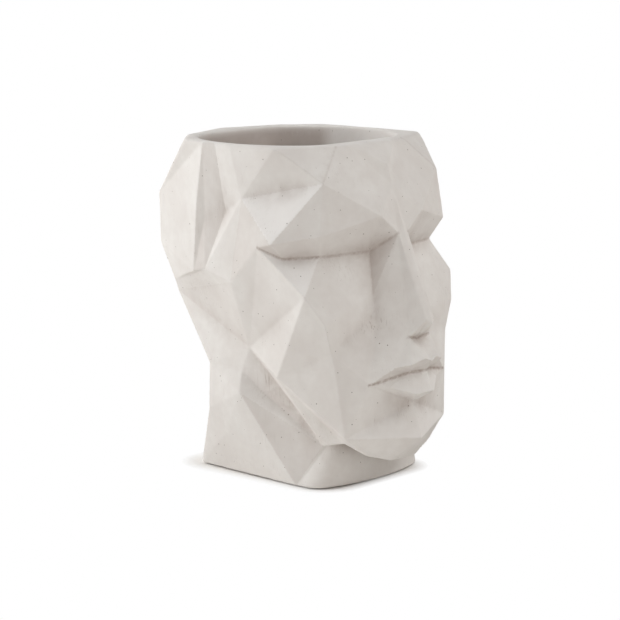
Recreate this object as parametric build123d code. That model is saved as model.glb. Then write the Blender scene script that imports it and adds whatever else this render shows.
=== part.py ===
from build123d import *
import os

# The planter stands on its pads at z = 0, the face looks to -Y, and the origin is the middle of the head's footprint.

# Driving dimensions
head_height = 210.0
head_width = 152.0
head_depth = 198.0

# Planting hole: round about its own axis, flattened before and behind, and tapered to draw off its core
hole_axis_setback = 11.0
hole_radius = 61.5
hole_front_flat = 50.0
hole_back_flat = 51.0
hole_corner_radius = 30.0
hole_draft_degrees = 7.0
hole_floor_height = 26.0
hole_floor_fillet = 6.0
rim_overrun = 5.0

# Bowed front of the neck, under the chin, set on the heel of the cast and drawn in towards the jaw
neck_front_height = 30.0
neck_root_inset = 20.0
neck_root_length = 18.0
neck_foot_flare = 0.8
neck_foot_side_length = 15.3
neck_foot_bow = 10.0
neck_foot_corner_radius = 12.0
neck_top_inset = 11.2
neck_top_flare = 1.0
neck_top_lead = 9.3
neck_top_side_length = 10.0
neck_top_bow = 6.0
neck_top_corner_radius = 6.0

# Drain hole through the floor, and the hollow under the foot that it runs into
drain_hole_diameter = 14.0
drain_hollow_diameter = 58.0
drain_hollow_depth = 4.0

# Rubber plug: a flange that rests on the floor, a stem in the drain hole and a pull tab
plug_clearance = 0.3
plug_flange_diameter = 26.0
plug_flange_thickness = 3.0
plug_stem_retreat = 1.5
plug_tab_width = 13.0
plug_tab_height = 12.0
plug_tab_thickness = 4.0
plug_tab_hole_diameter = 5.5
plug_edge_chamfer = 0.6

# Rubber pads, each set in a shallow pocket under the foot
pad_diameter = 14.0
pad_thickness = 2.0
pad_proud = 0.8
pad_edge_chamfer = 0.4
pad_pocket_clearance = 0.2
front_pad_spread = 66.0
front_pad_reach = 38.0
rear_pad_spread = 58.0
rear_pad_reach = 42.0

# Corners of the faceted cast: shares of the half width, of the depth and of the height above the foot
LANDMARK_SHARES = {
    # Rim, from the forehead round to the back
    "rim_front": (0.00, -0.260, 1.000),
    "rim_forehead": (0.28, -0.255, 1.000),
    "rim_forehead_side": (0.41, -0.245, 1.000),
    "rim_brow": (0.90, -0.162, 1.000),
    "rim_temple": (0.905, 0.025, 1.000),
    "rim_over_ear": (0.88, 0.094, 1.000),
    "rim_behind_ear": (0.88, 0.145, 1.000),
    "rim_rear": (0.85, 0.235, 1.000),
    "rim_back_side": (0.55, 0.335, 1.000),
    "rim_back": (0.00, 0.400, 1.000),
    # Forehead and brow
    "forehead_swell": (0.00, -0.318, 0.935),
    "forehead_mid": (0.00, -0.335, 0.880),
    "forehead_corner": (0.71, -0.292, 0.902),
    "brow_peak": (0.26, -0.375, 0.800),
    "brow_bend": (0.77, -0.303, 0.753),
    "brow_end": (1.00, -0.178, 0.728),
    # Temple and ear
    "temple_top": (0.88, -0.018, 0.843),
    "temple_low": (0.89, 0.027, 0.595),
    "ear_front": (0.82, 0.070, 0.795),
    "ear_back": (0.85, 0.185, 0.810),
    "ear_hollow": (0.82, 0.160, 0.765),
    "ear_foot": (0.85, 0.150, 0.620),
    "ear_foot_back": (0.81, 0.215, 0.605),
    # Eye socket
    "eye_corner": (0.97, -0.115, 0.713),
    "lid_outer": (0.88, -0.186, 0.683),
    "lid_mid": (0.69, -0.270, 0.689),
    "lid_inner": (0.22, -0.316, 0.691),
    # Nose
    "bridge_mid": (0.00, -0.385, 0.750),
    "bridge": (0.06, -0.380, 0.745),
    "nose_side": (0.27, -0.347, 0.570),
    "nose_foot": (0.33, -0.353, 0.503),
    "nose_wing": (0.29, -0.366, 0.485),
    "nostril": (0.13, -0.445, 0.450),
    "nose_tip_side": (0.05, -0.490, 0.500),
    "nose_tip": (0.00, -0.500, 0.490),
    "nose_base": (0.00, -0.435, 0.440),
    # Cheek
    "cheekbone": (0.92, -0.290, 0.585),
    "cheek_fold": (0.80, -0.330, 0.505),
    "cheek_low": (0.72, -0.330, 0.415),
    "cheek_back": (0.75, -0.300, 0.410),
    # Mouth
    "lip_dip": (0.00, -0.500, 0.380),
    "lip_peak": (0.07, -0.495, 0.390),
    "lip_top_mid": (0.19, -0.480, 0.375),
    "lip_top": (0.28, -0.440, 0.365),
    "slit_front": (0.00, -0.475, 0.350),
    "slit_mid": (0.11, -0.445, 0.346),
    "mouth_corner": (0.47, -0.400, 0.320),
    "lip_low_mid": (0.00, -0.495, 0.290),
    "lip_low_front": (0.11, -0.475, 0.282),
    "lip_low_side": (0.30, -0.425, 0.307),
    # Jaw and chin
    "jaw_hinge": (0.71, 0.010, 0.395),
    "jaw_bend": (0.83, -0.145, 0.330),
    "jaw_front": (0.70, -0.335, 0.380),
    "jaw_strip": (0.56, -0.245, 0.125),
    "jaw_corner": (0.53, -0.320, 0.140),
    "jaw_notch": (0.71, 0.045, 0.320),
    "jaw_heel": (0.78, 0.030, 0.260),
    "chin_top": (0.00, -0.425, 0.250),
    "chin_side": (0.63, -0.355, 0.165),
    "chin_front": (0.00, -0.460, 0.145),
    "chin_under_side": (0.39, -0.365, 0.100),
    "chin_under": (0.16, -0.385, 0.075),
    "chin_under_mid": (0.00, -0.390, 0.075),
    "throat": (0.00, -0.260, 0.130),
    # Back of the head
    "crown_back_side": (0.65, 0.425, 0.820),
    "back_side": (0.65, 0.420, 0.670),
    "back_low_side": (0.59, 0.380, 0.555),
    "back_top": (0.00, 0.490, 0.820),
    "back_mid": (0.00, 0.500, 0.665),
    "back_low": (0.00, 0.460, 0.535),
    # Neck and foot
    "nape_side": (0.54, 0.385, 0.520),
    "nape": (0.00, 0.370, 0.325),
    "nape_corner": (0.68, 0.195, 0.325),
    "neck_back": (0.73, 0.180, 0.190),
    "neck_crease": (0.73, 0.100, 0.130),
    "neck_heel": (0.66, -0.165, 0.000),
    "base_rear": (0.58, 0.270, 0.000),
    "base_back": (0.00, 0.345, 0.000),
    "heel_mid": (0.00, -0.165, 0.000),
}

# Facets of one half, each a fan of flat triangles about its first corner
FACETS = [
    # Forehead and brow
    ("rim_forehead", "rim_front", "forehead_swell", "forehead_mid"),
    ("forehead_corner", "rim_forehead_side", "rim_forehead", "forehead_mid", "brow_peak"),
    ("rim_brow", "rim_forehead_side", "forehead_corner"),
    ("forehead_mid", "bridge_mid", "bridge", "brow_peak"),
    ("forehead_corner", "brow_peak", "brow_bend"),
    ("forehead_corner", "brow_bend", "brow_end"),
    # Temple
    ("rim_brow", "forehead_corner", "temple_top"),
    ("rim_temple", "rim_brow", "temple_top"),
    ("rim_over_ear", "rim_temple", "temple_top", "ear_front"),
    ("temple_top", "forehead_corner", "brow_end"),
    ("eye_corner", "temple_low", "temple_top", "brow_end"),
    ("temple_low", "ear_foot", "temple_top"),
    ("eye_corner", "cheekbone", "jaw_hinge", "temple_low"),
    ("temple_low", "jaw_hinge", "nape_side", "ear_foot"),
    # Ear
    ("ear_front", "temple_top", "ear_foot"),
    ("ear_hollow", "rim_behind_ear", "rim_over_ear", "ear_front", "ear_foot", "ear_foot_back", "ear_back",
     "rim_behind_ear"),
    # Eye socket
    ("brow_peak", "bridge", "lid_inner"),
    ("brow_bend", "brow_peak", "lid_inner", "lid_mid"),
    ("brow_bend", "lid_mid", "lid_outer", "brow_end"),
    ("brow_end", "lid_outer", "eye_corner"),
    ("cheekbone", "eye_corner", "lid_outer", "lid_mid", "lid_inner", "nose_side"),
    # Nose
    ("bridge_mid", "nose_tip", "nose_tip_side", "bridge"),
    ("bridge", "lid_inner", "nose_side", "nose_wing", "nostril", "nose_tip_side"),
    ("nose_side", "nose_wing", "nose_foot"),
    ("nose_base", "nostril", "nose_tip_side", "nose_tip"),
    # Cheek
    ("cheek_fold", "cheekbone", "nose_side", "nose_foot", "cheek_low"),
    ("cheek_fold", "cheekbone", "cheek_back", "cheek_low"),
    ("cheekbone", "cheek_back", "jaw_bend"),
    ("cheekbone", "jaw_bend", "jaw_hinge"),
    ("nose_foot", "nose_wing", "mouth_corner"),
    ("mouth_corner", "jaw_front", "cheek_low", "nose_foot"),
    # Mouth
    ("lip_peak", "nostril", "nose_base", "lip_dip"),
    ("nostril", "lip_peak", "lip_top_mid", "lip_top"),
    ("nostril", "lip_top", "mouth_corner", "nose_wing"),
    ("slit_mid", "mouth_corner", "lip_top", "lip_top_mid", "lip_peak", "lip_dip", "slit_front"),
    ("slit_mid", "mouth_corner", "lip_low_side"),
    ("slit_mid", "slit_front", "lip_low_mid", "lip_low_front", "lip_low_side"),
    ("chin_top", "lip_low_mid", "lip_low_front", "lip_low_side", "mouth_corner"),
    # Jaw and chin
    ("chin_side", "chin_top", "mouth_corner", "jaw_front"),
    ("chin_top", "chin_front", "chin_side"),
    ("chin_under", "chin_under_mid", "chin_front", "chin_side", "chin_under_side"),
    ("chin_side", "chin_under_side", "jaw_corner"),
    ("jaw_bend", "cheek_back", "cheek_low", "jaw_front", "chin_side", "jaw_corner"),
    ("jaw_bend", "jaw_strip", "jaw_corner"),
    ("jaw_hinge", "jaw_bend", "jaw_strip"),
    ("jaw_strip", "neck_heel", "jaw_heel", "jaw_notch", "jaw_hinge"),
    ("throat", "chin_under_mid", "chin_under", "chin_under_side", "jaw_corner", "jaw_strip", "neck_heel", "heel_mid"),
    # Back of the head
    ("crown_back_side", "rim_rear", "rim_behind_ear", "ear_back"),
    ("crown_back_side", "rim_rear", "rim_back_side"),
    ("crown_back_side", "ear_back", "ear_foot_back", "back_side"),
    ("back_low_side", "back_side", "ear_foot_back", "ear_foot", "nape_side"),
    ("back_top", "rim_back", "rim_back_side", "crown_back_side"),
    ("back_mid", "back_top", "crown_back_side", "back_side"),
    ("back_low", "back_mid", "back_side", "back_low_side"),
    ("nape", "back_low", "back_low_side", "nape_side", "nape_corner"),
    # Neck
    ("nape_corner", "nape_side", "jaw_hinge", "jaw_notch", "jaw_heel"),
    ("nape_corner", "neck_back", "jaw_heel"),
    ("jaw_heel", "neck_back", "neck_crease", "neck_heel"),
    ("base_rear", "neck_back", "neck_crease", "neck_heel"),
    ("neck_back", "nape_corner", "nape", "base_back", "base_rear"),
]

# Corners of the two flat ends, on one half
RIM = [name for name in LANDMARK_SHARES if name.startswith("rim_")]
FOOT = ["heel_mid", "neck_heel", "base_rear", "base_back"]


def landmark(name, side):
    across, along, up = LANDMARK_SHARES[name]
    height = pad_proud + up * (head_height - pad_proud)
    return Vector(side * across * head_width / 2, along * head_depth, height)


def triangles(facet):
    hub = facet[0]
    return [(hub, near, far) for near, far in zip(facet[1:], facet[2:])]


def flat_face(points):
    return Face(Wire.make_polygon(points, close=True))


def end_face(names):
    left = [landmark(name, 1) for name in names]
    right = [landmark(name, -1) for name in reversed(names[1:-1])]
    return flat_face(left + right)


def faceted_cast():
    faces = [end_face(RIM), end_face(FOOT)]
    for side in (1, -1):
        for facet in FACETS:
            for names in triangles(facet):
                faces.append(flat_face([landmark(name, side) for name in names]))
    return Solid(Shell(faces))


def neck_outline(heel, flare, side_length, bow, corner_radius):
    side = heel.X + flare
    front = heel.Y - side_length
    root = landmark("neck_heel", 1) + Vector(-neck_root_inset, neck_root_length)
    with BuildSketch() as outline:
        with BuildLine():
            ThreePointArc((-side, front), (0, front - bow), (side, front))
            Polyline((side, front), (heel.X, heel.Y), (root.X, root.Y))
            Line((root.X, root.Y), (-root.X, root.Y))
            Polyline((-root.X, root.Y), (-heel.X, heel.Y), (-side, front))
        make_face()
        fillet(outline.vertices().group_by(Axis.Y)[0], radius=corner_radius)
    return outline.sketch


def neck_front_block():
    heel = landmark("neck_heel", 1)
    top_heel = heel - Vector(neck_top_inset, neck_top_lead)
    foot = neck_outline(heel, neck_foot_flare, neck_foot_side_length, neck_foot_bow, neck_foot_corner_radius)
    top = neck_outline(top_heel, neck_top_flare, neck_top_side_length, neck_top_bow, neck_top_corner_radius)
    return loft([Pos(0, 0, heel.Z) * foot, Pos(0, 0, neck_front_height) * top])


def planting_hole():
    with BuildPart() as hole:
        with BuildSketch(Plane.XY.offset(head_height)) as mouth:
            with Locations((0, hole_axis_setback)):
                Circle(hole_radius)
            with Locations((0, hole_axis_setback - hole_front_flat)):
                Rectangle(2 * hole_radius, hole_radius, align=(Align.CENTER, Align.MAX), mode=Mode.SUBTRACT)
            with Locations((0, hole_axis_setback + hole_back_flat)):
                Rectangle(2 * hole_radius, hole_radius, align=(Align.CENTER, Align.MIN), mode=Mode.SUBTRACT)
            fillet(mouth.vertices(), radius=hole_corner_radius)
        extrude(mouth.sketch, amount=rim_overrun)
        extrude(mouth.sketch, amount=hole_floor_height - head_height, taper=hole_draft_degrees)
        fillet(hole.faces().sort_by(Axis.Z)[0].edges(), radius=hole_floor_fillet)
    return hole.part


def pad_places():
    places = []
    for side in (1, -1):
        places.append(("front", side, Pos(side * front_pad_spread / 2, -front_pad_reach)))
        places.append(("rear", side, Pos(side * rear_pad_spread / 2, rear_pad_reach)))
    return places


def head_shell():
    hole_axis = Pos(0, hole_axis_setback)
    with BuildPart() as shell:
        add(faceted_cast())
        add(neck_front_block())
        add(planting_hole(), mode=Mode.SUBTRACT)
        with Locations(hole_axis):
            Cylinder(
                drain_hollow_diameter / 2,
                pad_proud + drain_hollow_depth,
                align=(Align.CENTER, Align.CENTER, Align.MIN),
                mode=Mode.SUBTRACT,
            )
            Cylinder(
                drain_hole_diameter / 2,
                hole_floor_height,
                align=(Align.CENTER, Align.CENTER, Align.MIN),
                mode=Mode.SUBTRACT,
            )
        with Locations([place for _, _, place in pad_places()]):
            Cylinder(
                pad_diameter / 2 + pad_pocket_clearance,
                pad_thickness,
                align=(Align.CENTER, Align.CENTER, Align.MIN),
                mode=Mode.SUBTRACT,
            )
    return shell.part


def drain_plug():
    stem_radius = drain_hole_diameter / 2 - plug_clearance
    stem_foot = pad_proud + drain_hollow_depth + plug_stem_retreat
    with BuildPart() as plug:
        with Locations((0, 0, stem_foot)):
            Cylinder(
                stem_radius,
                hole_floor_height - stem_foot,
                align=(Align.CENTER, Align.CENTER, Align.MIN),
            )
        with Locations((0, 0, hole_floor_height)):
            Cylinder(
                plug_flange_diameter / 2,
                plug_flange_thickness,
                align=(Align.CENTER, Align.CENTER, Align.MIN),
            )
        chamfer(plug.edges().group_by(Axis.Z)[-1], length=plug_edge_chamfer)
        with BuildSketch(Plane.XZ.offset(-plug_tab_thickness / 2)):
            with Locations((0, hole_floor_height + plug_flange_thickness)):
                Rectangle(plug_tab_width, plug_tab_height - plug_tab_width / 2, align=(Align.CENTER, Align.MIN))
            eye = (0, hole_floor_height + plug_flange_thickness + plug_tab_height - plug_tab_width / 2)
            with Locations(eye):
                Circle(plug_tab_width / 2)
                Circle(plug_tab_hole_diameter / 2, mode=Mode.SUBTRACT)
        extrude(amount=plug_tab_thickness)
    return Pos(0, hole_axis_setback) * plug.part


def foot_pad():
    with BuildPart() as pad:
        Cylinder(pad_diameter / 2, pad_thickness, align=(Align.CENTER, Align.CENTER, Align.MIN))
        chamfer(pad.edges().group_by(Axis.Z)[0], length=pad_edge_chamfer)
    return pad.part


def build():
    parts = {"head_shell": head_shell(), "drain_plug": drain_plug()}
    for end, side, place in pad_places():
        hand = "left" if side > 0 else "right"
        parts[f"{end}_{hand}_pad"] = place * foot_pad()
    os.makedirs("parts", exist_ok=True)
    for name, part in parts.items():
        export_step(part, f"parts/{name}.step")


build()
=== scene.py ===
# Head planter: the cast softened and coloured, its plug and pads, on a pale studio floor.
import math

import bmesh
import bpy
import numpy as np
from mathutils import Matrix, Vector, kdtree, noise
from mathutils.bvhtree import BVHTree


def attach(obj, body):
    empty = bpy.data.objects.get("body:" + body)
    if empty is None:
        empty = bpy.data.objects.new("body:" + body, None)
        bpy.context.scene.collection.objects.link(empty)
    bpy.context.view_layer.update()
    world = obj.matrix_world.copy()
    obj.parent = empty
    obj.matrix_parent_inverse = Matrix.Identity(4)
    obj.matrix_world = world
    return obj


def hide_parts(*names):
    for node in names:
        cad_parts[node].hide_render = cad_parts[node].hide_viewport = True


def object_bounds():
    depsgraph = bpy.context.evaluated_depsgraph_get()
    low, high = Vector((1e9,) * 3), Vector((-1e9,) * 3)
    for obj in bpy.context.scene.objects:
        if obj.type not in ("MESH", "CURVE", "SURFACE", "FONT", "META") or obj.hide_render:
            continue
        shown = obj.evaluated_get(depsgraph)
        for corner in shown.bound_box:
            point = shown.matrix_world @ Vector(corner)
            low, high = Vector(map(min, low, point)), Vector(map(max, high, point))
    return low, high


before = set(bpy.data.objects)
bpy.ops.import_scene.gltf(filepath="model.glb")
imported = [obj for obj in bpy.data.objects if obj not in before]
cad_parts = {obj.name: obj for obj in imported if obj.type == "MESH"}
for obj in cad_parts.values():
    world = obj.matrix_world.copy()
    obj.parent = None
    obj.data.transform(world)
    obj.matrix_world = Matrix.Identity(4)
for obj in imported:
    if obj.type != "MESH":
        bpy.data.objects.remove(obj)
CAD_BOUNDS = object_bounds()
(HEAD_LEFT, HEAD_FRONT, _), (HEAD_RIGHT, HEAD_BACK, RIM_HEIGHT) = CAD_BOUNDS
MM = 0.001

# Camera: the photograph's angle, distance and frame
IMAGE_PIXELS = 620
CAMERA_AZIMUTH = math.radians(-48.49)
CAMERA_ELEVATION = math.radians(10.08)
CAMERA_DISTANCE = 1.5
CAMERA_FOCAL_PIXELS = 2368.0
CAMERA_TARGET_ACROSS = 8.1 * MM
CAMERA_TARGET_BACK = 11 * MM
CAMERA_TARGET_HEIGHT = 98.5 * MM
SENSOR_WIDTH = 36.0

# Cast surface: grid of the softened mesh, the softness of its corners and the triangles kept
MERGE_DISTANCE = 0.002 * MM
CAST_VOXEL = 0.75 * MM
SOFTEN_STEPS = 1
SOFTEN_FACTOR = 0.5
CAST_TRIANGLES = 180000
FLAT_FACET_WEIGHT = 60
RIM_WEAR_STEPS = 30
RIM_WEAR_SPAN = 5 * MM
HAND_SANDING_DEPTH = 0.22 * MM
HAND_SANDING_SPAN = 15 * MM

# Dark lines along the creases between facets, partly dust and partly painted shade: half width, and the
# least and full angle of a darkened crease
CREASE_HALF_WIDTH = 1.5 * MM
CREASE_SAMPLE_SPACING = 0.4 * MM
CREASE_LEAST_ANGLE = math.radians(32)
CREASE_FULL_ANGLE = math.radians(65)
CREASE_MARK_LEAST_HEIGHT = 32 * MM
CREASE_MARK_FARTHEST_BACK = 70 * MM

# Recesses of the cast, found on a coarser grid
HOLLOW_VOXEL = 2.4 * MM
HOLLOW_STEPS = 60
HOLLOW_DEPTH = 2.8 * MM

# Corners of the facets: shares of the head's half width, of its depth and of its height above the foot
CORNER_REACH = 1.5 * MM
FOOT_HEIGHT = 0.8 * MM
CORNER_SHARES = {
    "rim_forehead_side": (0.41, -0.245, 1.000),
    "forehead_corner": (0.71, -0.292, 0.902),
    "brow_peak": (0.26, -0.375, 0.800),
    "brow_bend": (0.77, -0.303, 0.753),
    "brow_end": (1.00, -0.178, 0.728),
    "temple_top": (0.88, -0.018, 0.843),
    "temple_low": (0.89, 0.027, 0.595),
    "ear_hollow": (0.82, 0.160, 0.765),
    "ear_foot": (0.85, 0.150, 0.620),
    "eye_corner": (0.97, -0.115, 0.713),
    "lid_outer": (0.88, -0.186, 0.683),
    "lid_inner": (0.22, -0.316, 0.691),
    "bridge": (0.06, -0.380, 0.745),
    "nose_side": (0.27, -0.347, 0.570),
    "nostril": (0.13, -0.445, 0.450),
    "cheekbone": (0.92, -0.290, 0.585),
    "lip_dip": (0.00, -0.500, 0.380),
    "lip_peak": (0.07, -0.495, 0.390),
    "lip_top_mid": (0.19, -0.480, 0.375),
    "slit_front": (0.00, -0.475, 0.350),
    "slit_mid": (0.11, -0.445, 0.346),
    "mouth_corner": (0.47, -0.400, 0.320),
    "lip_low_mid": (0.00, -0.495, 0.290),
    "lip_low_front": (0.11, -0.475, 0.282),
    "lip_low_side": (0.30, -0.425, 0.307),
    "jaw_hinge": (0.71, 0.010, 0.395),
    "jaw_strip": (0.56, -0.245, 0.125),
    "jaw_heel": (0.78, 0.030, 0.260),
    "chin_top": (0.00, -0.425, 0.250),
    "chin_side": (0.63, -0.355, 0.165),
    "chin_front": (0.00, -0.460, 0.145),
    "throat": (0.00, -0.260, 0.130),
    "nape_side": (0.54, 0.385, 0.520),
    "neck_heel": (0.66, -0.165, 0.000),
}

# Facets given a tone of their own, partly the cement's and partly painted shade and painted light for how
# each faces the lamps:
# each row names corners that the facet has, and how far it goes towards the stain and painted shade, or
# with a minus towards the painted light; a later row goes over an earlier one
FACET_TONES_AND_SHADES = [
    (("ear_hollow",), 0.14),
    (("ear_hollow", "ear_foot"), 0.18),
    (("temple_top", "eye_corner"), 0.12),
    (("temple_top", "forehead_corner", "brow_end"), -0.45),
    (("temple_low", "jaw_hinge", "nape_side"), 0.10),
    (("forehead_corner", "brow_bend"), 0.06),
    (("brow_bend", "lid_outer"), 0.12),
    (("brow_bend", "lid_inner"), 0.08),
    (("brow_peak", "lid_inner"), 0.08),
    (("nose_side", "bridge"), 0.07),
    (("lid_inner", "nose_side", "bridge"), 0.20),
    (("throat",), 0.12),
    (("eye_corner", "lid_outer", "brow_end"), 0.25),
    (("cheekbone", "lid_outer"), -0.4),
    (("slit_mid", "mouth_corner"), 0.2),
    (("slit_mid", "mouth_corner", "lip_low_side"), 0.05),
    (("slit_mid", "lip_top_mid"), 0.16),
    (("slit_mid", "lip_peak"), 0.14),
    (("slit_front", "lip_dip"), 0.18),
    (("slit_mid", "lip_low_front"), -0.2),
    (("slit_mid", "slit_front", "lip_low_mid"), -0.2),
    (("nostril", "lip_dip"), -0.25),
    (("nostril", "lip_peak", "lip_dip"), -0.25),
    (("chin_top", "chin_front", "chin_side"), -0.2),
    (("jaw_strip", "jaw_heel", "neck_heel"), 0.14),
]

# Creases with more or less darkening, by dust and painted shade, than their depth would give them, from
# corner to corner; the mouth's slit is painted dark as its shade
DUSTY_AND_SHADED_CREASES = {
    ("slit_front", "slit_mid"): 1.0,
    ("slit_mid", "mouth_corner"): 1.0,
    ("rim_forehead_side", "forehead_corner"): 0.3,
    ("temple_top", "forehead_corner"): 0.12,
}

# Planting hole, for the painted shade on its walls
HOLE_AXIS_BACK = 11 * MM
HOLE_RADIUS = 61.5 * MM
HOLE_DRAFT = math.radians(7)
HOLE_FLOOR_HEIGHT = 26 * MM
HOLE_MARGIN = 1 * MM
HOLE_SHADE_SPAN = 5 * MM

# One side of the hole's walls is left paler, as painted light where the lamps fall on it: which side, where
# it begins across the hole, and how soon
LIT_SIDE = (0.663, -0.749)
LIT_EDGE = 14 * MM
LIT_SPAN = 9 * MM

# Floor, and how far past the foot its soft shadow still shows
PAPER = "#F6F4F1"
ROOM_WHITE = "#FFFFFF"
FLOOR_HALF_SIZE = 3.0
ORIGIN = (0.0, 0.0, 0.0)
FOOT_MIDDLE = (0.0, 5 * MM, 0.0)
FOOT_INNER_HALF_SIZE = (30 * MM, 43 * MM, 10 * MM)
SHADOW_REACH_NEAR = 16 * MM
SHADOW_REACH_FAR = 27 * MM

# Colours of the cast cement: a stain colour that is also its painted shade, the pale of its painted light,
# and the grey painted into its pinholes as the shade in them
CEMENT_PALE = "#E5E2DE"
CEMENT_DEEP = "#D5CFCA"
CEMENT_STAIN_AND_SHADE = "#8E796D"
# painted light: the pale that facets facing the lamps are brightened towards
CEMENT_PAINTED_LIGHT = "#F4F2F0"
PINHOLE_SHADE = "#7D7268"

# Clouded patterns in the cement: the size of a patch, its detail and how far it is swirled. The sanding and
# the brush's hairs are drawn coarser than the real ones, so that they show
CLOUD_ROUGHNESS = 0.55
CEMENT_CLOUDS = {
    "mottling": (38 * MM, 3.0, 0.4),
    "grains": (6 * MM, 4.0, 0.0),
    "recess_breaks": (11 * MM, 4.0, 0.6),
    "crease_breaks": (2.2 * MM, 3.0, 0.0),
    "brush_hairs": (0.9 * MM, 2.0, 0.0),
    "brushed_spots": (26 * MM, 2.0, 0.0),
    "sanding": (1.6 * MM, 5.0, 0.0),
}

# What is painted on the cast's points: a facet's tone, its recesses, its creases and its planting hole
CEMENT_PAINT = ("tone", "recess", "crease", "inside")

# Fades of the patterns: the source, where it gives none and all, and how much that is
CEMENT_FADES = {
    "mottled": ("mottling", 0.35, 0.68, 0.0, 1.0),
    "grainy": ("grains", 0.35, 0.70, 0.0, 1.0),
    # painted light: facets with a minus tone turn pale
    "painted_lit": ("tone", 0.5, 0.0, 0.0, 1.0),
    # painted shade with some of the cement's own tone: facets with a plus tone turn darker
    "toned_and_shaded": ("tone", 0.5, 1.0, 0.0, 1.0),
    "recess_left": ("recess_breaks", 0.30, 0.75, 0.35, 1.0),
    "creased": ("crease", 0.05, 0.75, 0.0, 1.0),
    "crease_left": ("crease_breaks", 0.30, 0.62, 0.25, 1.0),
    "strokes": ("brush_hairs", 0.56, 0.72, 0.0, 1.0),
    "brushed_here": ("brushed_spots", 0.52, 0.66, 0.0, 1.0),
    "brushed_recess": ("recess", 0.05, 0.5, 0.25, 1.0),
}

# Patterns that show only where two others meet
CEMENT_MEETINGS = {
    # darker recesses: partly stain and dust, partly painted shade
    "stained_and_shaded": ("recess", "recess_left"),
    # darker creases: partly dust, partly painted shade
    "dusty_and_shaded": ("creased", "crease_left"),
    "brushed": ("brushed_here", "brushed_recess"),
    "scuffed": ("strokes", "brushed"),
}

# Layers of colour from the pale cement up: the pattern, its share and its colour
CEMENT_LAYERS = (
    ("mottled", 0.55, CEMENT_DEEP),
    ("grainy", 0.30, CEMENT_DEEP),
    ("painted_lit", 1.0, CEMENT_PAINTED_LIGHT),
    ("toned_and_shaded", 1.0, CEMENT_STAIN_AND_SHADE),
    ("stained_and_shaded", 0.6, CEMENT_STAIN_AND_SHADE),
    ("dusty_and_shaded", 0.7, CEMENT_STAIN_AND_SHADE),
    # painted shade on the planting hole's walls, partly the darker cement left as cast
    ("inside", 0.5, CEMENT_STAIN_AND_SHADE),
    ("scuffed", 0.5, CEMENT_STAIN_AND_SHADE),
    # pinholes painted dark, as the shade in them
    ("pinholed", 0.85, PINHOLE_SHADE),
)

# Brushed strokes: how they lean, and how they are drawn out upwards to about 25 mm
STROKE_LEAN = (math.radians(18), math.radians(12), 0.0)
STROKE_STRETCH = (1.0, 1.0, 0.035)

# Pinholes: one in each cell, many of them too small to show. Which draws give one, and how large the
# largest is and how soft its edge, as shares of the cell
PINHOLE_CELL = 3.4 * MM
PINHOLE_LOTTERY = (0.35, 1.0)
PINHOLE_LARGEST = 0.13
PINHOLE_EDGE = 0.03

# Relief of the cement: the depth of the bump, and the shares of the sanding and of the scuffs in it
RELIEF_DEPTH = 0.35 * MM
SANDING_RELIEF = 0.35
SCUFF_RELIEF = 0.25

# Rubber of the plug and the pads: its black, its grey bloom and the grain of its mould, drawn coarser than
# the real one, so that it shows
RUBBER_NODES = ("drain_plug", "front_left_pad", "front_right_pad", "rear_left_pad", "rear_right_pad")
RUBBER_BLACK = "#1E1D1C"
RUBBER_BLOOM = "#3A3735"
BLOOM_PATCH = 5 * MM
RUBBER_GRAIN = 0.5 * MM
RUBBER_RELIEF_DEPTH = 0.08 * MM

# Large soft lamps: how far across the picture, towards the camera and up each stands, and its watts
LAMP_DISTANCE = 1.7
LAMP_SIZE = 1.2
LAMP_AIM_HEIGHT = 100 * MM
LAMPS = {
    "left_back": (-1.0, -0.8, 0.4, 13.2),
    "left_front": (-1.0, 0.8, 0.4, 8.7),
    "left": (-1.0, 0.0, 0.3, 5.0),
    "top_left": (-1.0, 0.0, 1.2, 9.5),
    "top_right": (1.0, 0.0, 1.2, 14.3),
    "right_front": (1.0, 0.8, 0.4, 7.0),
    "front": (0.0, 1.0, 0.3, 1.2),
}
WARM_LAMPS = ("right_front", "front")
WARM_LIGHT = "#FFF9F4"


def linear(hex_colour):
    channels = [int(hex_colour[i:i + 2], 16) / 255 for i in (1, 3, 5)]
    return [c / 12.92 if c <= 0.04045 else ((c + 0.055) / 1.055) ** 2.4 for c in channels] + [1.0]


def per_metre(size):
    return 1.0 / size


def add_node(tree, kind, inputs=None, **settings):
    # Each input, by its name or its place, takes a value or the output of another node
    node = tree.nodes.new(kind)
    for name, value in settings.items():
        setattr(node, name, value)
    for socket, value in (inputs or {}).items():
        if isinstance(value, bpy.types.NodeSocket):
            tree.links.new(value, node.inputs[socket])
        else:
            node.inputs[socket].default_value = value
    return node


def new_material(name):
    material = bpy.data.materials.new(name)
    material.use_nodes = True
    return material, material.node_tree, material.node_tree.nodes["Principled BSDF"]


# Camera

def view_axes():
    across = Vector((math.cos(CAMERA_AZIMUTH), math.sin(CAMERA_AZIMUTH), 0))
    level = math.cos(CAMERA_ELEVATION)
    towards_camera = (math.sin(CAMERA_AZIMUTH) * level, -math.cos(CAMERA_AZIMUTH) * level)
    back = Vector((*towards_camera, math.sin(CAMERA_ELEVATION)))
    return across, back.cross(across), back


def add_camera():
    across, up, back = view_axes()
    target = across * CAMERA_TARGET_ACROSS + Vector((0, CAMERA_TARGET_BACK, CAMERA_TARGET_HEIGHT))
    data = bpy.data.cameras.new("photo_camera")
    data.sensor_width = SENSOR_WIDTH
    data.lens = CAMERA_FOCAL_PIXELS / IMAGE_PIXELS * SENSOR_WIDTH
    camera = bpy.data.objects.new("photo_camera", data)
    bpy.context.collection.objects.link(camera)
    turn = Matrix((across, up, back)).transposed().to_4x4()
    camera.matrix_world = Matrix.Translation(target + back * CAMERA_DISTANCE) @ turn
    bpy.context.scene.camera = camera


# Materials

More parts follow.
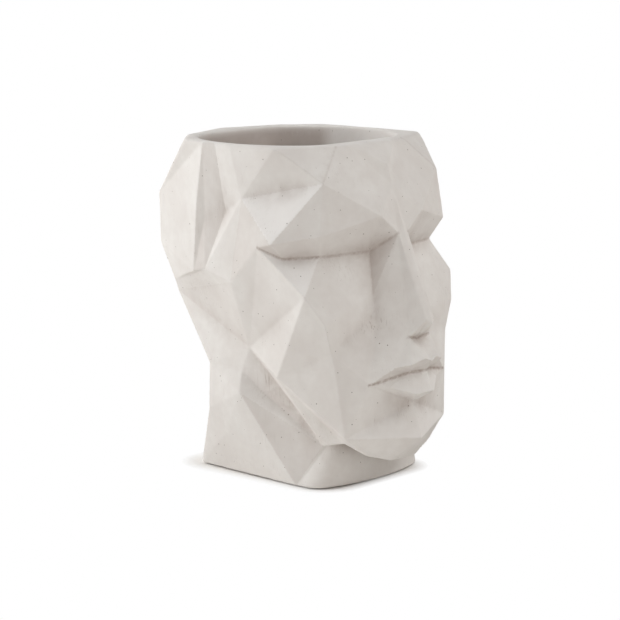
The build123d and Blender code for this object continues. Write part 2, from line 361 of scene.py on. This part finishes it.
def cast_cement():
    # Cast white cement, sanded and dusted by hand: matt, mottled a little, pinholed where air was trapped,
    # the pinholes painted dark as the shade in them, darker and warmer in its recesses and creases, partly
    # by dust and release oil and partly by painted shade, and scuffed along brushed strokes. Its facets
    # carry painted shade and painted light. The walls of the planting hole have painted shade, partly the
    # darker cement left as cast with clay-brown dust, and less of it on the side where light falls
    material, tree, shader = new_material("Cast white cement")
    place = add_node(tree, "ShaderNodeTexCoord").outputs["Object"]
    stretch = {"Vector": place, "Rotation": STROKE_LEAN, "Scale": STROKE_STRETCH}
    along_brush = add_node(tree, "ShaderNodeMapping", stretch).outputs["Vector"]
    patterns = {}
    for name, (size, detail, swirl) in CEMENT_CLOUDS.items():
        cloud = {
            "Vector": along_brush if name == "brush_hairs" else place,
            "Scale": per_metre(size),
            "Detail": detail,
            "Roughness": CLOUD_ROUGHNESS,
            "Distortion": swirl,
        }
        patterns[name] = add_node(tree, "ShaderNodeTexNoise", cloud).outputs["Fac"]
    for name in CEMENT_PAINT:
        patterns[name] = add_node(tree, "ShaderNodeAttribute", attribute_name=name).outputs["Fac"]
    for name, (source, none, full, least, most) in CEMENT_FADES.items():
        ends = {"From Min": none, "From Max": full, "To Min": least, "To Max": most}
        fade = add_node(tree, "ShaderNodeMapRange", {"Value": patterns[source], **ends})
        patterns[name] = fade.outputs["Result"]
    for name, (one, other) in CEMENT_MEETINGS.items():
        pair = {0: patterns[one], 1: patterns[other]}
        patterns[name] = add_node(tree, "ShaderNodeMath", pair, operation="MULTIPLY").outputs["Value"]

    # A pinhole's size is drawn by lot, from its cell's own colour
    cell = {"Vector": place, "Scale": per_metre(PINHOLE_CELL), "Randomness": 1.0}
    cells = add_node(tree, "ShaderNodeTexVoronoi", cell)
    lots = add_node(tree, "ShaderNodeSeparateColor", {"Color": cells.outputs["Color"]})
    lottery = {
        "Value": lots.outputs["Red"],
        "From Min": PINHOLE_LOTTERY[0],
        "From Max": PINHOLE_LOTTERY[1],
        "To Max": PINHOLE_LARGEST,
    }
    reach = add_node(tree, "ShaderNodeMapRange", lottery).outputs["Result"]
    sunk = {0: reach, 1: cells.outputs["Distance"]}
    within = add_node(tree, "ShaderNodeMath", sunk, operation="SUBTRACT").outputs["Value"]
    edge = {"Value": within, "From Max": PINHOLE_EDGE}
    patterns["pinholed"] = add_node(tree, "ShaderNodeMapRange", edge).outputs["Result"]

    colour = linear(CEMENT_PALE)
    for name, share, tint in CEMENT_LAYERS:
        amount = add_node(tree, "ShaderNodeMath", {0: patterns[name], 1: share}, operation="MULTIPLY")
        blend = {0: amount.outputs["Value"], 6: colour, 7: linear(tint)}
        colour = add_node(tree, "ShaderNodeMix", blend, data_type="RGBA").outputs[2]
    tree.links.new(colour, shader.inputs["Base Color"])
    shader.inputs["Roughness"].default_value = 0.88
    shader.inputs["Specular IOR Level"].default_value = 0.35

    # Relief: the sanding's grain, less the pinholes, less the scuffs
    scuffs = {0: patterns["scuffed"], 1: SCUFF_RELIEF}
    scuffed_relief = add_node(tree, "ShaderNodeMath", scuffs, operation="MULTIPLY").outputs["Value"]
    relief = patterns["sanding"]
    for operation, amount in (
        ("MULTIPLY", SANDING_RELIEF),
        ("SUBTRACT", patterns["pinholed"]),
        ("SUBTRACT", scuffed_relief),
    ):
        step = add_node(tree, "ShaderNodeMath", {0: relief, 1: amount}, operation=operation)
        relief = step.outputs["Value"]
    raised = {"Strength": 0.35, "Distance": RELIEF_DEPTH, "Height": relief}
    bump = add_node(tree, "ShaderNodeBump", raised)
    tree.links.new(bump.outputs["Normal"], shader.inputs["Normal"])
    return material


def moulded_rubber():
    # Moulded black rubber: dull, with a fine eroded grain from its mould and a breath of grey bloom
    material, tree, shader = new_material("Moulded black rubber")
    place = add_node(tree, "ShaderNodeTexCoord").outputs["Object"]
    cloud = {"Vector": place, "Scale": per_metre(BLOOM_PATCH), "Detail": 4.0}
    bloom = add_node(tree, "ShaderNodeTexNoise", cloud)
    blend = {0: bloom.outputs["Fac"], 6: linear(RUBBER_BLACK), 7: linear(RUBBER_BLOOM)}
    tint = add_node(tree, "ShaderNodeMix", blend, data_type="RGBA")
    tree.links.new(tint.outputs[2], shader.inputs["Base Color"])
    speckle = {"Vector": place, "Scale": per_metre(RUBBER_GRAIN), "Detail": 2.0}
    grain = add_node(tree, "ShaderNodeTexNoise", speckle)
    raised = {"Strength": 0.3, "Distance": RUBBER_RELIEF_DEPTH, "Height": grain.outputs["Fac"]}
    bump = add_node(tree, "ShaderNodeBump", raised)
    tree.links.new(bump.outputs["Normal"], shader.inputs["Normal"])
    shader.inputs["Roughness"].default_value = 0.62
    return material


def sweep_paper():
    # White sweep paper: matt, and past the soft shadow round the foot it fades to the white of the room
    material, tree, shader = new_material("White sweep paper")
    shader.inputs["Base Color"].default_value = linear(PAPER)
    shader.inputs["Roughness"].default_value = 1.0
    shader.inputs["Specular IOR Level"].default_value = 0.0
    away = add_node(tree, "ShaderNodeTexCoord").outputs["Object"]
    # Worked out step by step: how far each place lies outside a block in the middle of the foot
    for operation, second in (
        ("SUBTRACT", FOOT_MIDDLE),
        ("ABSOLUTE", ORIGIN),
        ("SUBTRACT", FOOT_INNER_HALF_SIZE),
        ("MAXIMUM", ORIGIN),
    ):
        step = add_node(tree, "ShaderNodeVectorMath", {0: away, 1: second}, operation=operation)
        away = step.outputs["Vector"]
    reach = add_node(tree, "ShaderNodeVectorMath", {0: away}, operation="LENGTH").outputs["Value"]
    shadow_end = {"Value": reach, "From Min": SHADOW_REACH_NEAR, "From Max": SHADOW_REACH_FAR}
    fade = add_node(tree, "ShaderNodeMapRange", shadow_end).outputs["Result"]
    seen = add_node(tree, "ShaderNodeLightPath").outputs["Is Camera Ray"]
    far = add_node(tree, "ShaderNodeMath", {0: fade, 1: seen}, operation="MULTIPLY").outputs["Value"]
    white = add_node(tree, "ShaderNodeEmission", {"Strength": 1.0, "Color": linear(ROOM_WHITE)})
    pair = {0: far, 1: shader.outputs["BSDF"], 2: white.outputs["Emission"]}
    pick = add_node(tree, "ShaderNodeMixShader", pair)
    tree.links.new(pick.outputs["Shader"], tree.nodes["Material Output"].inputs["Surface"])
    return material


# Cast head

def merged_copy(node, name):
    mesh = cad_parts[node].data.copy()
    mesh.name = name
    mesh.materials.clear()
    form = bmesh.new()
    form.from_mesh(mesh)
    bmesh.ops.remove_doubles(form, verts=form.verts, dist=MERGE_DISTANCE)
    form.to_mesh(mesh)
    form.free()
    piece = bpy.data.objects.new(name, mesh)
    bpy.context.collection.objects.link(piece)
    return piece


def bake_modifiers(piece):
    finished = bpy.data.meshes.new_from_object(piece.evaluated_get(bpy.context.evaluated_depsgraph_get()))
    piece.modifiers.clear()
    piece.data = finished


def vectors_of(vertices, kind):
    flat = np.empty(len(vertices) * 3)
    vertices.foreach_get(kind, flat)
    return flat.reshape(-1, 3)


def relaxed(mesh, points, steps):
    # The points after that many steps halfway to the middle of their neighbours
    ends = np.empty(len(mesh.edges) * 2, dtype=np.int64)
    mesh.edges.foreach_get("vertices", ends)
    first, second = ends.reshape(-1, 2).T
    count = len(points)
    neighbours = np.bincount(first, minlength=count) + np.bincount(second, minlength=count)
    for _ in range(steps):
        total = np.empty_like(points)
        for axis in range(3):
            total[:, axis] = np.bincount(first, points[second, axis], count)
            total[:, axis] += np.bincount(second, points[first, axis], count)
        points = 0.5 * points + 0.5 * total / neighbours[:, None]
    return points


def paint(mesh, name, values):
    layer = mesh.attributes.new(name, "FLOAT", "POINT")
    layer.data.foreach_set("value", np.clip(values, 0.0, 1.0).astype(np.float32))


def gridded(node, name, voxel):
    piece = merged_copy(node, name)
    remesh = piece.modifiers.new("casting_grid", "REMESH")
    remesh.mode = "VOXEL"
    remesh.voxel_size = voxel
    soften = piece.modifiers.new("softened_corners", "SMOOTH")
    soften.factor = SOFTEN_FACTOR
    soften.iterations = SOFTEN_STEPS
    bake_modifiers(piece)
    return piece


def nearest_finder(places):
    finder = kdtree.KDTree(len(places))
    for index, place in enumerate(places):
        finder.insert(place, index)
    finder.balance()
    return finder


def hollowness(mesh, steps, depth):
    # How far each point sinks below a softer copy of its surface
    points = vectors_of(mesh.vertices, "co")
    settled = relaxed(mesh, points, steps)
    return ((settled - points) * vectors_of(mesh.vertices, "normal")).sum(axis=1) / depth


def wide_hollows(points):
    # Recesses are found on a coarse grid, and each point takes those of its nearest coarse point
    coarse = gridded("head_shell", "hollow_finder", HOLLOW_VOXEL)
    values = hollowness(coarse.data, HOLLOW_STEPS, HOLLOW_DEPTH)
    finder = nearest_finder([vertex.co for vertex in coarse.data.vertices])
    found = np.array([values[finder.find(point)[1]] for point in points])
    bpy.data.objects.remove(coarse)
    return found


def vertices_at_corners(mesh):
    # The mesh's vertices at each named corner, on both halves of the head
    places = vectors_of(mesh.vertices, "co")
    places[:, 0] = np.abs(places[:, 0])
    found = {}
    for name, (across, along, up) in CORNER_SHARES.items():
        height = FOOT_HEIGHT + up * (RIM_HEIGHT - FOOT_HEIGHT)
        corner = (across * (HEAD_RIGHT - HEAD_LEFT) / 2, along * (HEAD_BACK - HEAD_FRONT), height)
        found[name] = set(np.flatnonzero(np.linalg.norm(places - corner, axis=1) < CORNER_REACH))
    return found


def crease_darkening_along(edge, corners):
    first, last = (vertex.index for vertex in edge.verts)
    for (one, other), darkening in DUSTY_AND_SHADED_CREASES.items():
        forth = first in corners[one] and last in corners[other]
        back = last in corners[one] and first in corners[other]
        if forth or back:
            return darkening
    ends = [vertex.co for vertex in edge.verts]
    if min(end.z for end in ends) < CREASE_MARK_LEAST_HEIGHT or max(end.y for end in ends) > CREASE_MARK_FARTHEST_BACK:
        return 0.0
    depth = -edge.calc_face_angle_signed(0.0)
    return min(1.0, (depth - CREASE_LEAST_ANGLE) / (CREASE_FULL_ANGLE - CREASE_LEAST_ANGLE))


def crease_dust_and_shade(points):
    # The creases of the cast are darkened, partly by dust and partly by painted shade, more the deeper the
    # crease
    creased = merged_copy("head_shell", "crease_finder")
    corners = vertices_at_corners(creased.data)
    form = bmesh.new()
    form.from_mesh(creased.data)
    samples = []
    for edge in form.edges:
        darkening = crease_darkening_along(edge, corners)
        if darkening > 0:
            first, last = (vertex.co for vertex in edge.verts)
            count = max(1, round(edge.calc_length() / CREASE_SAMPLE_SPACING))
            samples += [(first.lerp(last, step / count), darkening) for step in range(count + 1)]
    form.free()
    bpy.data.objects.remove(creased)
    finder = nearest_finder([place for place, _ in samples])
    found = []
    for point in points:
        _, index, away = finder.find(point)
        found.append(samples[index][1] * max(0.0, 1.0 - away / CREASE_HALF_WIDTH))
    return np.array(found)


def facet_tones_and_shades(points):
    # Each point takes the tone of the facet nearest to it
    faceted = merged_copy("head_shell", "tone_finder")
    places = vectors_of(faceted.data.vertices, "co")
    polygons = [tuple(polygon.vertices) for polygon in faceted.data.polygons]
    corners = vertices_at_corners(faceted.data)
    tones = np.zeros(len(polygons))
    for names, tone in FACET_TONES_AND_SHADES:
        for index, polygon in enumerate(polygons):
            if all(corners[name].intersection(polygon) for name in names):
                tones[index] = tone
    tree = BVHTree.FromPolygons([Vector(place) for place in places], polygons)
    bpy.data.objects.remove(faceted)
    return tones[[tree.find_nearest(point)[2] for point in points]]


def inside_hole(points):
    # Painted shade, partly the darker cement left as cast: nothing at the rim, rising to one on the walls
    # of the planting hole, and less on the side where the light falls
    below = RIM_HEIGHT - points[:, 2]
    back = points[:, 1] - HOLE_AXIS_BACK
    reach = HOLE_RADIUS + HOLE_MARGIN - below * math.tan(HOLE_DRAFT)
    within = (np.hypot(points[:, 0], back) < reach) & (points[:, 2] > HOLE_FLOOR_HEIGHT - HOLE_MARGIN)
    aside = points[:, 0] * LIT_SIDE[0] + back * LIT_SIDE[1]
    lit = np.clip((aside - LIT_EDGE) / LIT_SPAN, 0.0, 1.0)
    return within * np.clip(below / HOLE_SHADE_SPAN, 0.0, 1.0) * (1.0 - lit)


def paint_cast(mesh):
    points = vectors_of(mesh.vertices, "co")
    paint(mesh, "crease", crease_dust_and_shade(points))
    paint(mesh, "tone", 0.5 + 0.5 * facet_tones_and_shades(points))
    paint(mesh, "recess", wide_hollows(points))
    paint(mesh, "inside", inside_hole(points))


def wear_and_sand(mesh):
    # The rim is worn round, most at its top
    points = vectors_of(mesh.vertices, "co")
    worn = np.clip(1.0 - (RIM_HEIGHT - points[:, 2]) / RIM_WEAR_SPAN, 0.0, 1.0)[:, None]
    points += (relaxed(mesh, points, RIM_WEAR_STEPS) - points) * worn
    # Facets sanded by hand are never quite flat
    waves = np.array([noise.noise(Vector(point) / HAND_SANDING_SPAN) for point in points])
    points -= vectors_of(mesh.vertices, "normal") * ((0.5 + 0.5 * waves) * HAND_SANDING_DEPTH)[:, None]
    mesh.vertices.foreach_set("co", points.ravel())


def thin_and_flatten(piece):
    # Flat facets need few triangles, so the grid of squares thins out there
    thin = piece.modifiers.new("thinned_grid", "DECIMATE")
    thin.ratio = min(1.0, CAST_TRIANGLES / (2 * len(piece.data.polygons)))
    bake_modifiers(piece)
    piece.data.shade_smooth()
    # Normals follow the larger triangles, so the facets shade flat up to their corners
    flatten = piece.modifiers.new("flat_facets", "WEIGHTED_NORMAL")
    flatten.mode = "FACE_AREA"
    flatten.weight = FLAT_FACET_WEIGHT
    bake_modifiers(piece)


def cast_head():
    piece = gridded("head_shell", "cast_head", CAST_VOXEL)
    paint_cast(piece.data)
    wear_and_sand(piece.data)
    thin_and_flatten(piece)
    piece.data.materials.clear()
    piece.data.materials.append(cast_cement())
    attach(piece, "head")
    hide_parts("head_shell")


# Plug and pads

def dress_rubber():
    rubber = moulded_rubber()
    for node in RUBBER_NODES:
        for material_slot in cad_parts[node].material_slots:
            material_slot.material = rubber


# Studio

def studio_lights():
    across, _, back = view_axes()
    forward = Vector((back.x, back.y, 0)).normalized()
    middle = Vector((0, 0, LAMP_AIM_HEIGHT))
    for name, (aside, ahead, rise, watts) in LAMPS.items():
        light = bpy.data.lights.new(name, "AREA")
        light.size = LAMP_SIZE
        light.energy = watts
        if name in WARM_LAMPS:
            light.color = linear(WARM_LIGHT)[:3]
        lamp = bpy.data.objects.new(name, light)
        bpy.context.collection.objects.link(lamp)
        direction = across * aside + forward * ahead + Vector((0, 0, rise))
        lamp.location = middle + direction.normalized() * LAMP_DISTANCE
        lamp.rotation_euler = (middle - lamp.location).to_track_quat("-Z", "Y").to_euler()


def white_room():
    # The room is seen white but gives no light of its own
    world = bpy.data.worlds.new("white_room")
    bpy.context.scene.world = world
    world.use_nodes = True
    tree = world.node_tree
    room = tree.nodes["Background"]
    room.inputs["Color"].default_value = linear(ROOM_WHITE)
    room.inputs["Strength"].default_value = 0.0
    white = add_node(tree, "ShaderNodeBackground", {"Strength": 1.0, "Color": linear(ROOM_WHITE)})
    seen = add_node(tree, "ShaderNodeLightPath").outputs["Is Camera Ray"]
    pair = {0: seen, 1: room.outputs["Background"], 2: white.outputs["Background"]}
    pick = add_node(tree, "ShaderNodeMixShader", pair)
    tree.links.new(pick.outputs["Shader"], tree.nodes["World Output"].inputs["Surface"])


def pale_floor():
    form = bmesh.new()
    bmesh.ops.create_grid(form, x_segments=1, y_segments=1, size=FLOOR_HALF_SIZE)
    mesh = bpy.data.meshes.new("pale_floor")
    form.to_mesh(mesh)
    form.free()
    mesh.materials.append(sweep_paper())
    floor = bpy.data.objects.new("pale_floor", mesh)
    bpy.context.collection.objects.link(floor)


add_camera()
cast_head()
dress_rubber()
studio_lights()
white_room()
pale_floor()
bpy.context.scene.view_settings.view_transform = "Standard"
